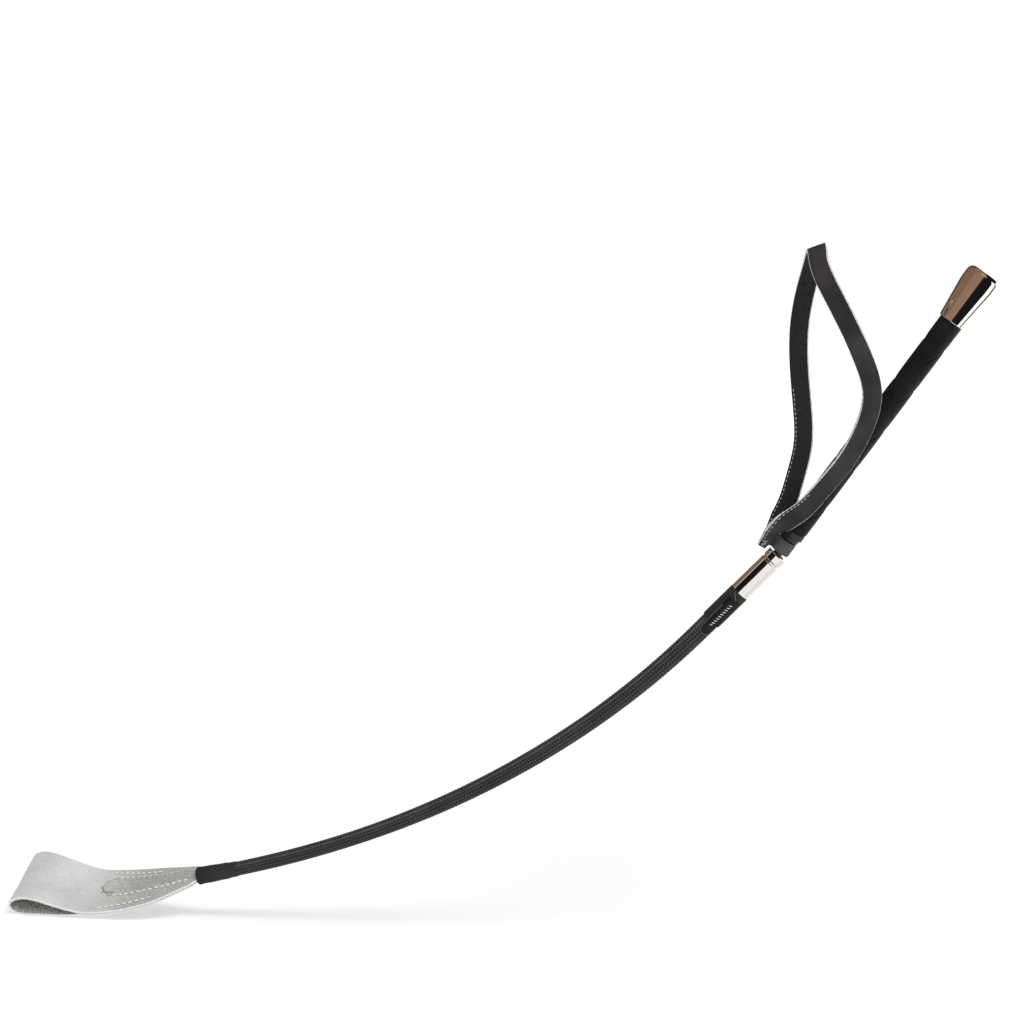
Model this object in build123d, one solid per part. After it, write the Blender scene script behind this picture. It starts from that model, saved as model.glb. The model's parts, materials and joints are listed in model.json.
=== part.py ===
from build123d import *
from math import atan2, cos, degrees, radians, sin
import os

# A riding crop, held by the grip and pressed on its tip, so that its shaft is bent.
# Millimetres. +X runs from the leather tip to the handle, +Z is up, and the crop lies in
# the plane y = 0. The origin is the middle of the grip, on the handle's axis.

os.makedirs("parts", exist_ok=True)

# ---- driving dimensions ------------------------------------------------------------------

HANDLE_ANGLE = 55.0        # slope of the handle's axis above the horizontal
SHAFT_ANGLE = 46.3         # slope of the ferrule and of the shaft's straight first stretch
GRIP_CENTRE = 75.0         # from the neck hinge up to the middle of the grip

CAP_R = 6.05               # at the cap's mouth
CAP_FLARED_R = 8.2         # it flares up to here, and is straight beyond
CAP_FLARE_END = 144.5
CAP_START = 127.0          # distances along the handle, from the neck hinge
CAP_END = 152.0
CAP_WALL = 0.75
CAP_EDGE_R = 3.0
WRAP_R = 5.25
WRAP_START = 15.5
CORE_R = 4.35
CORE_START = 12.0
RING_R = 5.25
RING_STEP_R = 4.4
RING_START = 10.5
RING_STEP = 12.5
BUTT_ROD_END = 102.0

FERRULE_START = -2.4       # distances down the shaft, from the neck hinge
FERRULE_END = 21.6
FERRULE_R = 4.55
BEAD_R = 4.7
BEAD_BEVEL = 0.4
GROOVE_R = 4.2
GROOVE = 1.6               # a turned groove, below the bead at the ferrule's upper end
GROOVE_WIDTH = 0.8
FERRULE_MOUTH_R = 3.0
BUSH_START = 4.0
BUSH_END = 10.0
SLEEVE_END = 39.4
SLEEVE_R = 4.65
PATCH_START = 25.0
PATCH_END = 46.3
PATCH_T = 0.35
PATCH_HALF_WIDTH = 3.4
PATCH_TURN = -20.0         # the label patch is turned a little towards the underside

STRAIGHT = 48.0            # the shaft is straight down to here, and curved beyond
SECTIONS = 7
SECTION = 39.1             # length of one curved section
CURVE_START = 0.1500       # degrees of bend per millimetre, at the first curved section
CURVE_END = 0.0935         # and at the tip
SHAFT_R_THICK = 4.05       # the braid's outer radius, under the ferrule and near the tip
SHAFT_R_THIN = 3.27
TAPER_START = 40.0
TAPER_END = 240.0
ROD_R = 2.0
ROD_R_TIP = 1.7
BRAID_T = 0.8
KNUCKLE_EXTRA = 0.45       # a section's round end is this much larger than the braid
NECK_KNUCKLE_R = 2.5
RUN_GAP = 0.08             # running clearance between two round ends

BINDING = 20.4             # length of the binding at the tip
BINDING_R_SHAFT = 3.5
BINDING_R_KEEPER = 4.3
BRAID_UNDER_BINDING = 2.0
TAIL = 17.0                # how far the keeper's two tails run up under the binding
TAIL_R = 3.05

KEEPER_ROLL = 26.0         # the keeper is turned about its length, its far edge up
LEATHER = 1.0              # each layer, measured upright
KEEPER_HINGE = 53.0        # from the binding's end to where the loose loop starts
KEEPER_HINGE_DROP = 12.0
KEEPER_KNUCKLE_R = 1.4
TONGUE_END = 45.0
TONGUE_T = 1.6
TONGUE_HALF = 4.0
POCKET_END = 47.0
POCKET_HALF = 5.2
STITCH = 1.9
STITCH_PITCH = 3.0
STITCH_W = 0.5
STITCH_T = 0.3
STITCH_LIFT = 0.05
POCKET_ROW = 5.7           # stitch rows beside the pocket, this far from its middle line
POCKET_ROW_START = 9.0
POCKET_ROW_END = 43.0
EDGE_ROW_START = 20.0      # stitch rows along the keeper's edges
EDGE_ROW_END = 44.0
EDGE_ROW_NEAR_TIP = 8.6    # their distance from the middle line, at start and end
EDGE_ROW_NEAR_LOOP = 11.8

COLLAR_START = 3.6         # leather collar round the neck, along the handle
COLLAR_END = 9.6
COLLAR_R = 4.0
STRAP_T = 1.9
STRAP_W = 8.4
STRAP_W_END = 3.8
STRAP_FLARE = 0.32         # growth of the strap's width per millimetre from its ends
STRAP_HINGE_ALONG = 3.8    # the stitched root of the wrist strap, beside the neck
STRAP_HINGE_OUT = 7.6
TAB_T = 1.8

# ---- places ------------------------------------------------------------------------------

up_handle = Vector(cos(radians(HANDLE_ANGLE)), 0, sin(radians(HANDLE_ANGLE)))
out_left = Vector(-sin(radians(HANDLE_ANGLE)), 0, cos(radians(HANDLE_ANGLE)))
neck = up_handle * -GRIP_CENTRE
side = Vector(0, 1, 0)


def heading_vector(heading):
    return Vector(cos(radians(heading)), 0, sin(radians(heading)))


def frame_along(origin, direction):
    """A plane whose z runs along direction and whose x points out of the crop's plane."""
    return Plane(origin=origin, x_dir=side * -1, z_dir=direction)


def on_handle(along, out, across=0.0):
    """A point given along the handle, out to its upper left, and across the crop's plane."""
    return neck + up_handle * along + out_left * out + side * across


def save(name, *solids):
    """Write one node; several solids are written as one group."""
    shape = solids[0] if len(solids) == 1 else Compound(children=list(solids))
    export_step(shape, f"parts/{name}.step")


def turned(outline, plane, angle=360.0, start=0.0):
    """A solid of revolution about a plane's z, from (radius, distance) corners."""
    face = make_face(Polyline([(r, 0, s) for r, s in outline], close=True))
    solid = revolve(Rot(0, 0, start) * face, axis=Axis.Z, revolution_arc=angle)
    return plane.location * solid


def tube(plane, start, end, outer, inner=0.0):
    return turned([(inner, start), (outer, start), (outer, end), (inner, end)], plane)


# ---- handle ------------------------------------------------------------------------------

handle_plane = frame_along(neck, up_handle)


def make_end_cap():
    from_mouth = (Align.CENTER, Align.CENTER, Align.MIN)
    flare = CAP_FLARE_END - CAP_START
    cup = Cone(CAP_R, CAP_FLARED_R, flare, align=from_mouth)
    cup += Pos(0, 0, flare) * Cylinder(CAP_FLARED_R, CAP_END - CAP_FLARE_END, align=from_mouth)
    cup = fillet(cup.edges().sort_by(Axis.Z)[-1], CAP_EDGE_R)
    depth = CAP_END - CAP_START - 3.0
    cup -= Cylinder(CAP_R - CAP_WALL, depth, align=from_mouth)
    return handle_plane.location * Pos(0, 0, CAP_START) * cup


def make_cap_bush():
    return tube(handle_plane, CAP_START + 4, CAP_END - 3, CAP_R - CAP_WALL, CORE_R)


def make_handle_core():
    outline = [(ROD_R, CORE_START), (CORE_R, CORE_START), (CORE_R, CAP_END - 3),
               (0, CAP_END - 3), (0, BUTT_ROD_END), (ROD_R, BUTT_ROD_END)]
    return turned(outline, handle_plane)


def make_handle_wrap():
    return tube(handle_plane, WRAP_START, CAP_START + 4, WRAP_R, CORE_R)


def make_end_ring():
    outline = [(ROD_R, RING_START), (RING_STEP_R, RING_START), (RING_STEP_R, RING_STEP),
               (RING_R, RING_STEP), (RING_R, WRAP_START), (CORE_R, WRAP_START),
               (CORE_R, CORE_START), (ROD_R, CORE_START)]
    return turned(outline, handle_plane)


def knuckle(origin, radius):
    """A round pin shape across the crop, on a hinge axis."""
    return Pos(*origin) * Rot(90, 0, 0) * Cylinder(radius, 40)


def beyond(origin, direction, radius, length=30.0):
    """All that a solid's round end, of this radius, must not fill past a hinge."""
    block = Box(40, 40, length, align=(Align.CENTER, Align.CENTER, Align.MIN))
    return frame_along(origin, direction).location * block - knuckle(origin, radius)


def make_butt_rod():
    rod = tube(handle_plane, -2 * NECK_KNUCKLE_R, BUTT_ROD_END, ROD_R)
    return rod - beyond(neck, up_handle * -1, NECK_KNUCKLE_R)


# ---- ferrule and label -------------------------------------------------------------------

shaft_heading = 180.0 + SHAFT_ANGLE
shaft_plane = frame_along(neck, heading_vector(shaft_heading))


def braid_radius(s):
    t = min(1.0, max(0.0, (s - TAPER_START) / (TAPER_END - TAPER_START)))
    return SHAFT_R_THICK + (SHAFT_R_THIN - SHAFT_R_THICK) * t


def make_ferrule():
    outline = [(FERRULE_MOUTH_R, FERRULE_START), (BEAD_R - BEAD_BEVEL, FERRULE_START),
               (BEAD_R, FERRULE_START + BEAD_BEVEL), (BEAD_R, GROOVE - BEAD_BEVEL),
               (GROOVE_R, GROOVE), (GROOVE_R, GROOVE + GROOVE_WIDTH),
               (FERRULE_R, GROOVE + GROOVE_WIDTH + BEAD_BEVEL), (FERRULE_R, FERRULE_END),
               (SHAFT_R_THICK, FERRULE_END), (SHAFT_R_THICK, BUSH_START),
               (FERRULE_MOUTH_R, BUSH_START)]
    return turned(outline, shaft_plane)


def make_label_sleeve():
    return tube(shaft_plane, FERRULE_END, SLEEVE_END, SLEEVE_R, SHAFT_R_THICK)


def make_label_patch():
    """A thin tongue of leather, over the sleeve and then down on the braid past its end."""
    outline = [(SLEEVE_R, PATCH_START), (SLEEVE_R + PATCH_T, PATCH_START),
               (SLEEVE_R + PATCH_T, SLEEVE_END + PATCH_T),
               (SHAFT_R_THICK + PATCH_T, SLEEVE_END + 2 * PATCH_T),
               (SHAFT_R_THICK + PATCH_T, PATCH_END + 1), (SHAFT_R_THICK, PATCH_END + 1),
               (SHAFT_R_THICK, SLEEVE_END), (SLEEVE_R, SLEEVE_END)]
    band = turned(outline, Plane.XY, angle=120, start=-60)
    round_at = PATCH_END - PATCH_HALF_WIDTH
    length = round_at - PATCH_START
    flat = Pos(0, 0, PATCH_START + length / 2) * Box(20, 2 * PATCH_HALF_WIDTH, length)
    tip_round = Pos(0, 0, round_at) * Rot(0, 90, 0) * Cylinder(PATCH_HALF_WIDTH, 20)
    patch = band & (flat + tip_round)
    return shaft_plane.location * Rot(0, 0, PATCH_TURN) * patch


# ---- shaft -------------------------------------------------------------------------------

class Station:
    """A place on the shaft's centre line: where it is and which way the shaft heads."""

    def __init__(self, point, heading, bend):
        self.point = point
        self.heading = heading
        self.bend = bend               # degrees per millimetre of the section that follows

    def direction(self):
        return heading_vector(self.heading)

    def bend_centre(self):
        return self.point + heading_vector(self.heading - 90) * (degrees(1) / self.bend)

    def after(self, length):
        turn = self.bend * length
        centre = self.bend_centre()
        spoke = self.point - centre
        point = centre + spoke.rotate(Axis.Y, turn)
        return Station(point, self.heading - turn, self.bend)


def make_stations():
    """The start of each curved section, and the shaft's end."""
    stations = []
    place = neck + heading_vector(shaft_heading) * STRAIGHT
    heading = shaft_heading
    for i in range(SECTIONS):
        bend = CURVE_START + (CURVE_END - CURVE_START) * (i + 0.5) / SECTIONS
        station = Station(place, heading, bend)
        stations.append(station)
        end = station.after(SECTION)
        place, heading = end.point, end.heading
    stations.append(Station(place, heading, CURVE_END))
    return stations


stations = make_stations()
tip = stations[-1]


def curved_tube(station, length, outer, inner=0.0, start=0.0):
    """A round tube along the section's arc."""
    first = station.after(start)
    ring = Circle(outer) - Circle(inner) if inner else Circle(outer)
    face = frame_along(first.point, first.direction()).location * ring
    axis = Axis(station.bend_centre(), side)
    return revolve(face, axis=axis, revolution_arc=station.bend * (length - start))


def section_radii(i):
    """Outer radii of rod, padding and braid in curved section i."""
    braid = braid_radius(STRAIGHT + SECTION * (i + 0.5))
    rod = ROD_R + (ROD_R_TIP - ROD_R) * (i + 1) / SECTIONS
    return rod, braid - BRAID_T, braid


def knuckle_radius(i):
    """Radius of the round joint faces where curved section i starts."""
    before = SHAFT_R_THICK if i == 0 else section_radii(i - 1)[2]
    return before + KNUCKLE_EXTRA


def make_straight_section():
    """The rod, padding and braid inside the ferrule and under the label."""
    first = stations[0]
    overhang = STRAIGHT + 2 * knuckle_radius(0)
    cut = beyond(first.point, first.direction(), knuckle_radius(0))
    rod = tube(shaft_plane, 0, overhang, ROD_R) - cut
    rod -= knuckle(neck, NECK_KNUCKLE_R + RUN_GAP)
    padding = tube(shaft_plane, BUSH_END, overhang, SHAFT_R_THICK - BRAID_T, ROD_R) - cut
    braid = tube(shaft_plane, BUSH_END, overhang, SHAFT_R_THICK, SHAFT_R_THICK - BRAID_T) - cut
    return rod, padding, braid


def make_curved_section(i):
    """The rod, padding and braid of curved section i, with round faces at its hinges."""
    station = stations[i]
    last = i == SECTIONS - 1
    start_cut = knuckle(station.point, knuckle_radius(i) + RUN_GAP)
    length = SECTION if last else SECTION + 2 * knuckle_radius(i + 1)
    cover = SECTION - BINDING + BRAID_UNDER_BINDING if last else length
    rod_r, padding_r, braid_r = section_radii(i)
    rod = curved_tube(station, length, rod_r) - start_cut
    padding = curved_tube(station, cover, padding_r, rod_r) - start_cut
    braid = curved_tube(station, cover, braid_r, padding_r) - start_cut
    if last:
        return rod, padding, braid
    end = stations[i + 1]
    cut = beyond(end.point, end.direction(), knuckle_radius(i + 1))
    return rod - cut, padding - cut, braid - cut


# ---- keeper ------------------------------------------------------------------------------

roll = Vector(0, cos(radians(KEEPER_ROLL)), sin(radians(KEEPER_ROLL)))

# Where the two layers meet: distance from the binding's end, and drop below it. The part
# before 0 lies under the binding, along the rod.
seam = [(-18, -4.1), (0, 0), (15, 4.9), (30, 8.9), (45, 11.4), (KEEPER_HINGE, KEEPER_HINGE_DROP),
        (57, 12.1)]
# Half the keeper's width at a distance from the binding's end.
half_width = [(0, 5.2), (5, 6.9), (15, 10.0), (30, 13.0), (45, 14.2), (64, 15.0), (94, 16.3)]
# The loose loop's outside, from the hinge over the top, round the fold and back below.
loop_outside = [(53, 11.0), (60, 10.1), (65, 9.0), (70, 7.75), (75, 6.4), (80, 5.25),
                (85, 4.9), (88.5, 5.7), (91, 7.3), (91.8, 9.2), (91, 11.2), (88, 13.1),
                (80, 13.9), (62, 13.8), (53, 13.0)]
loop_inside = [(54.5, 12.05), (60, 11.1), (65, 10.0), (70, 8.75), (75, 7.4), (80, 6.25),
               (84.5, 5.9), (88, 6.8), (90.3, 8.3), (90.85, 9.4), (90.1, 10.9),
               (87.6, 12.15), (80, 12.9), (62, 12.8), (54.5, 12.05)]


seam_curve = Spline([(out, drop) for out, drop in seam])


def seam_drop(out):
    """How far the seam lies below the binding's end, at a distance from it."""
    low, high = 0.0, 1.0
    for _ in range(40):
        middle = (low + high) / 2
        if (seam_curve @ middle).X < out:
            low = middle
        else:
            high = middle
    return (seam_curve @ low).Y


def on_keeper(out, drop, across=0.0):
    """A point out from the binding's end, below it, and across the keeper's width."""
    return tip.point + Vector(-out, 0, -drop) + roll * across


def keeper_slab(edges, half):
    """The outline that the edges close, drawn out across the keeper's width."""
    face = make_face(edges)
    return extrude(Pos(*(roll * -half)) * face, amount=2 * half, dir=roll)


def seam_line(over):
    """The seam's curve, raised by a height."""
    return Spline([on_keeper(out, drop - over) for out, drop in seam])


def seam_slab(low, high):
    """All that lies between two heights over the seam."""
    bottom = seam_line(low)
    top = seam_line(high)
    ends = [Line(bottom @ 0, top @ 0), Line(bottom @ 1, top @ 1)]
    return keeper_slab([bottom, top, *ends], 20)


def plan_block(half_widths, line=Polyline):
    """A tall block whose outline, seen from above, has these half widths along the keeper."""
    cosine = cos(radians(KEEPER_ROLL))
    near = line([tip.point + Vector(-out, -w * cosine, -60) for out, w in half_widths])
    far = line([tip.point + Vector(-out, w * cosine, -60) for out, w in half_widths])
    ends = [Line(near @ 0, far @ 0), Line(near @ 1, far @ 1)]
    return extrude(make_face([near, far, *ends]), amount=120, dir=(0, 0, 1))


def keeper_knuckle(radius):
    centre = on_keeper(KEEPER_HINGE, KEEPER_HINGE_DROP)
    return Plane(origin=centre, x_dir=(1, 0, 0), z_dir=roll).location * Cylinder(radius, 60)


def keeper_beyond():
    centre = on_keeper(KEEPER_HINGE, KEEPER_HINGE_DROP)
    block = Box(20, 40, 60, align=(Align.MAX, Align.CENTER, Align.CENTER))
    placed = Plane(origin=centre, x_dir=(1, 0, 0), z_dir=roll).location * block
    return placed - keeper_knuckle(KEEPER_KNUCKLE_R)


def make_tongue():
    """The rod's end, pressed flat, which stiffens the keeper's first half."""
    round_at = TONGUE_END - TONGUE_HALF
    keep = plan_block([(-3, 1.2), (8, TONGUE_HALF), (round_at, TONGUE_HALF)])
    keep += Pos(*on_keeper(round_at, 0)) * Cylinder(TONGUE_HALF * cos(radians(KEEPER_ROLL)), 80)
    return seam_slab(-TONGUE_T / 2, TONGUE_T / 2) & keep


def make_keeper_layer(sign, plan, rod):
    """One stitched layer, with its pocket half over the tongue and its tail on the rod."""
    pocket = plan_block([(-1, 2.9), (7, POCKET_HALF), (POCKET_END, POCKET_HALF)])
    bulge = seam_slab(0, sign * (LEATHER + TONGUE_T / 2)) & pocket
    strip = (seam_slab(0, sign * LEATHER) + bulge) & plan
    tip_plane = frame_along(tip.point, tip.direction())
    tail = tube(tip_plane, -TAIL, 1.0, TAIL_R) & seam_slab(0, sign * 2 * TAIL_R)
    return (strip + tail) - keeper_beyond() - rod


def make_keeper_loop(plan):
    outside = Spline([on_keeper(*p) for p in loop_outside])
    face_edges = [outside, Line(outside @ 0, outside @ 1)]
    inside = Spline([on_keeper(*p) for p in loop_inside])
    solid = keeper_slab(face_edges, 20) - keeper_slab([inside], 22)
    return (solid & plan) - keeper_knuckle(KEEPER_KNUCKLE_R + RUN_GAP)


def stitch(out, across, face, turn=0.0):
    """One short stitch lying on a face of the keeper; face is +1 above, -1 below."""
    slope = degrees(atan2(seam_drop(out + 1) - seam_drop(out - 1), 2))
    under_pocket = abs(across) < POCKET_HALF and out < POCKET_END
    height = LEATHER + (TONGUE_T / 2 if under_pocket else 0)
    lift = height + STITCH_LIFT + STITCH_T / 2
    centre = on_keeper(out, seam_drop(out) - face * lift, across)
    body = Box(STITCH, STITCH_W, STITCH_T)
    return Pos(*centre) * Rot(KEEPER_ROLL, 0, 0) * Rot(0, -slope, 0) * Rot(0, 0, turn) * body


def stitch_row(first, last, offset_first, offset_last, face):
    count = int((last - first) / STITCH_PITCH) + 1
    for k in range(count):
        out = first + k * STITCH_PITCH
        across = offset_first + (offset_last - offset_first) * (out - first) / (last - first)
        yield stitch(out, across, face)


def make_pocket_stitching():
    """The U of stitches round the tongue's pocket, on both faces."""
    for face in (1, -1):
        for row in (POCKET_ROW, -POCKET_ROW):
            yield from stitch_row(POCKET_ROW_START, POCKET_ROW_END, row, row, face)
        for angle in (-60, -20, 20, 60):
            out = POCKET_ROW_END + STITCH_W + POCKET_ROW * cos(radians(angle))
            yield stitch(out, POCKET_ROW * sin(radians(angle)), face, turn=90 + angle)


def make_edge_stitching():
    """The outer rows, a little inside each edge, on both faces."""
    for face in (1, -1):
        for edge in (1, -1):
            yield from stitch_row(EDGE_ROW_START, EDGE_ROW_END, edge * EDGE_ROW_NEAR_TIP,
                                  edge * EDGE_ROW_NEAR_LOOP, face)


# ---- wrist strap -------------------------------------------------------------------------

# The strap's centre line: along the handle, out to its upper left, and across.
near_leg = [(1.4, 7.8, -2.2), (3.8, 7.8, -2.7), (6.5, 7.9, -3.7), (10, 8.0, -5.8),
            (14, 7.0, -7.2), (23.5, 3.4, -7.5), (38, 1.5, -8.5), (54, 0.8, -10.5),
            (69.5, 2.9, -13.5), (84, 8.8, -17), (94, 20.3, -20), (102.5, 34.8, -21),
            (109, 48, -18), (115, 59, -11)]
apex = [(119.5, 64.7, 0)]
far_leg = [(113, 62.8, 11), (101, 58.4, 18), (87, 51.6, 21), (71, 39.9, 20),
           (58, 28.4, 17), (46, 19.2, 13), (34, 13.9, 10), (22, 9.8, 8.2), (14, 8.4, 7.2),
           (10, 8.0, 5.8), (6.5, 7.9, 3.7), (3.8, 7.8, 2.7), (1.4, 7.8, 2.2)]
strap_line = Spline([on_handle(*p) for p in near_leg + apex + far_leg])
STRAP_STATIONS = 60
width_hint = heading_vector(20)


def strap_plane(t):
    """The strap's cross section: z runs along it, x over its width, y into the loop."""
    tangent = (strap_line % t).normalized()
    across = (width_hint - tangent * width_hint.dot(tangent)).normalized()
    return Plane(origin=strap_line @ t, x_dir=across, z_dir=tangent)


def make_wrist_strap():
    """A flat leather band, drawn through narrow cross sections along its centre line."""
    sections = []
    for i in range(STRAP_STATIONS + 1):
        t = i / STRAP_STATIONS
        from_end = min(t, 1 - t) * strap_line.length
        width = min(STRAP_W, STRAP_W_END + STRAP_FLARE * from_end)
        sections.append(strap_plane(t).location * Rectangle(width, STRAP_T))
    return loft(sections, ruled=True)


# Corners of the collar's tab, and of the slit in it: along the handle, and out.
tab = [(4.2, 3.0), (8.6, 3.0), (8.0, 9.8), (3.6, 10.3), (1.6, 7.9), (3.4, 5.3)]
slit = [(4.6, 4.4), (8.2, 4.4), (8.2, 5.1), (4.6, 5.1)]


def tab_plate(corners, thickness):
    outline = Polyline([on_handle(a, out, -thickness / 2) for a, out in corners], close=True)
    return extrude(make_face(outline), amount=thickness, dir=(0, 1, 0))


def make_strap_collar():
    """A ring of leather round the neck, with a tab that holds the strap's two ends."""
    ring = tube(handle_plane, COLLAR_START, COLLAR_END, COLLAR_R, ROD_R + RUN_GAP)
    return ring + tab_plate(tab, TAB_T) - tab_plate(slit, 2 * TAB_T)


def make_strap_stitching():
    """A zigzag of stitches through the strap's root, on its outer face at both ends."""
    height = STRAP_T / 2 + 5 * STITCH_LIFT + STITCH_T / 2
    for from_end, turn in ((1.2, 35), (2.8, -35)):
        for t in (from_end / strap_line.length, 1 - from_end / strap_line.length):
            root = strap_plane(t)
            for offset in (-0.8, 0.8):
                centre = root.origin + root.x_dir * offset - root.y_dir * height
                plane = Plane(origin=centre, x_dir=root.z_dir, z_dir=root.y_dir)
                box = Box(STITCH, STITCH_W, STITCH_T)
                yield plane.location * Rot(0, 0, turn if offset > 0 else -turn) * box


# ---- write the nodes ---------------------------------------------------------------------

save("end_cap", make_end_cap())
save("cap_bush", make_cap_bush())
save("handle_core", make_handle_core())
save("handle_wrap", make_handle_wrap())
save("handle_end_ring", make_end_ring())
save("rod_butt", make_butt_rod())

save("ferrule", make_ferrule())
save("ferrule_bush", tube(shaft_plane, BUSH_START, BUSH_END, SHAFT_R_THICK, ROD_R))
save("label_sleeve", make_label_sleeve())
save("label_patch", make_label_patch())
for name, solid in zip(("rod_1", "padding_1", "braid_1"), make_straight_section()):
    save(name, solid)

for i in range(SECTIONS - 1):
    rod, padding, braid = make_curved_section(i)
    save(f"rod_{i + 2}", rod)
    save(f"padding_{i + 2}", padding)
    save(f"braid_{i + 2}", braid)

plan = plan_block(half_width, Spline)
rod, padding, braid = make_curved_section(SECTIONS - 1)
rod = rod + make_tongue()
upper = make_keeper_layer(1, plan, rod)
lower = make_keeper_layer(-1, plan, rod) - upper
binding_plane = frame_along(tip.point, tip.direction())
binding = turned([(0, -BINDING), (BINDING_R_SHAFT, -BINDING), (BINDING_R_KEEPER, 0), (0, 0)],
                 binding_plane)
save(f"rod_{SECTIONS + 1}", rod)
save(f"padding_{SECTIONS + 1}", padding)
save(f"braid_{SECTIONS + 1}", braid)
save("tip_binding", binding - rod - padding - braid - upper - lower)
save("keeper_upper", upper)
save("keeper_lower", lower)
save("keeper_loop", make_keeper_loop(plan))
save("keeper_pocket_stitching", *make_pocket_stitching())
save("keeper_edge_stitching", *make_edge_stitching())

save("strap_collar", make_strap_collar())
save("wrist_strap", make_wrist_strap())
save("strap_stitching", *make_strap_stitching())

# Hinge places in metres and section bends in degrees, for the record of the joints.
print("neck", [round(v / 1000, 5) for v in neck])
for i, station in enumerate(stations):
    where = [round(v / 1000, 5) for v in station.point]
    print("station", i, where, round(station.heading, 3), round(station.bend * SECTION, 3))
print("keeper hinge", [round(v / 1000, 5) for v in on_keeper(KEEPER_HINGE, KEEPER_HINGE_DROP)])
print("strap hinge", [round(v / 1000, 5) for v in on_handle(STRAP_HINGE_ALONG, STRAP_HINGE_OUT)])
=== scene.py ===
import json
import math

import bpy
import numpy as np
from mathutils import Matrix, Vector


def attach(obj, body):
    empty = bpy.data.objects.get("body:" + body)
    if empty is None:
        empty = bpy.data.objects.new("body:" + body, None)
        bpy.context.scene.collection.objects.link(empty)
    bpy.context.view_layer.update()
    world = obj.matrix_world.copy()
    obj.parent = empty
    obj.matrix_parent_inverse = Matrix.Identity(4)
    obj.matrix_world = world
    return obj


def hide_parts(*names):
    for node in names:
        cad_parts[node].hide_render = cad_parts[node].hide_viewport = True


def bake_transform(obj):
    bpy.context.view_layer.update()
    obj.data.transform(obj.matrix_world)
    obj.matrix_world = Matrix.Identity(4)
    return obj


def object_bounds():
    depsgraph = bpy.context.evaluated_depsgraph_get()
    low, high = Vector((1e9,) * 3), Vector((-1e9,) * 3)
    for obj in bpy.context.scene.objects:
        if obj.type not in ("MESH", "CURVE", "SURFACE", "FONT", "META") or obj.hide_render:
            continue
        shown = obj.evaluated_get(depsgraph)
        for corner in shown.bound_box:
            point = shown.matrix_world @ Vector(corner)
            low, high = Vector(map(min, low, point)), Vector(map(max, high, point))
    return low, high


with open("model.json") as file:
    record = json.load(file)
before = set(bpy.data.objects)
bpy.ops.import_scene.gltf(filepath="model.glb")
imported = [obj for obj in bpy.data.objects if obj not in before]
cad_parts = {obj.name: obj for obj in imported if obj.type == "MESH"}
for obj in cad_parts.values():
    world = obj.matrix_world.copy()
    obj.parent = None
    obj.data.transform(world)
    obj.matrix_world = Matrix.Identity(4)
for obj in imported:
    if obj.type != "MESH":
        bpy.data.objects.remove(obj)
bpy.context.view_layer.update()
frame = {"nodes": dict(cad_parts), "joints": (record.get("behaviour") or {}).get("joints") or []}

# A riding crop, held by its grip and pressed on its tip. Lengths in this script are in
# millimetres in the helper functions' arguments, and metres in the meshes.

MM = 0.001
PI = math.pi
joints = {joint["name"]: joint for joint in frame["joints"]}
SIDE = Vector((0, 1, 0))


def joint_place(name):
    return Vector(joints[name]["pos_m"])


# ---- the crop's lines: handle, shaft, keeper ----------------------------------------------

neck = joint_place("neck_flex")
up_handle = Vector(joints["strap_swivel"]["axis"]).normalized()
out_left = up_handle.cross(SIDE)
roll = Vector(joints["keeper_flap"]["axis"]).normalized()

STRAIGHT = 48.0
SECTION = 39.1
SECTIONS = 7
LAST_BEND = math.radians(3.814)
TIP = STRAIGHT + SECTIONS * SECTION

stations = [joint_place(f"shaft_flex_{i + 1}") for i in range(SECTIONS)]


def heading_of(vector):
    return math.atan2(vector.z, vector.x)


headings = [heading_of(stations[0] - neck)]
for here, there in zip(stations, stations[1:]):
    headings.append(2 * heading_of(there - here) - headings[-1])
bends = [a - b for a, b in zip(headings, headings[1:])] + [LAST_BEND]


def shaft_at(s):
    """The shaft's centre and direction, at a distance in mm down from the neck hinge."""
    if s <= STRAIGHT:
        direction = Vector((math.cos(headings[0]), 0, math.sin(headings[0])))
        return neck + direction * s * MM, direction
    i = min(int((s - STRAIGHT) / SECTION), SECTIONS - 1)
    along = s - STRAIGHT - i * SECTION
    turn = bends[i] * along / SECTION
    chord = along * math.sin(turn / 2) / (turn / 2) if abs(turn) > 1e-9 else along
    half = headings[i] - turn / 2
    heading = headings[i] - turn
    start = stations[i]
    place = start + Vector((math.cos(half), 0, math.sin(half))) * chord * MM
    return place, Vector((math.cos(heading), 0, math.sin(heading)))


def handle_at(along):
    """The handle's centre, as seen from the neck, with the direction down towards the neck."""
    return neck + up_handle * along * MM, -up_handle


def on_handle(along, out, across=0.0):
    return neck + (up_handle * along + out_left * out + SIDE * across) * MM


def frames(line, distances):
    """Centres, upward normals and directions along a line, as arrays."""
    places, uppers, directions = [], [], []
    for s in distances:
        place, direction = line(s)
        places.append(place)
        uppers.append(SIDE.cross(direction))
        directions.append(direction)
    return np.array(places), np.array(uppers), np.array(directions)


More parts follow.
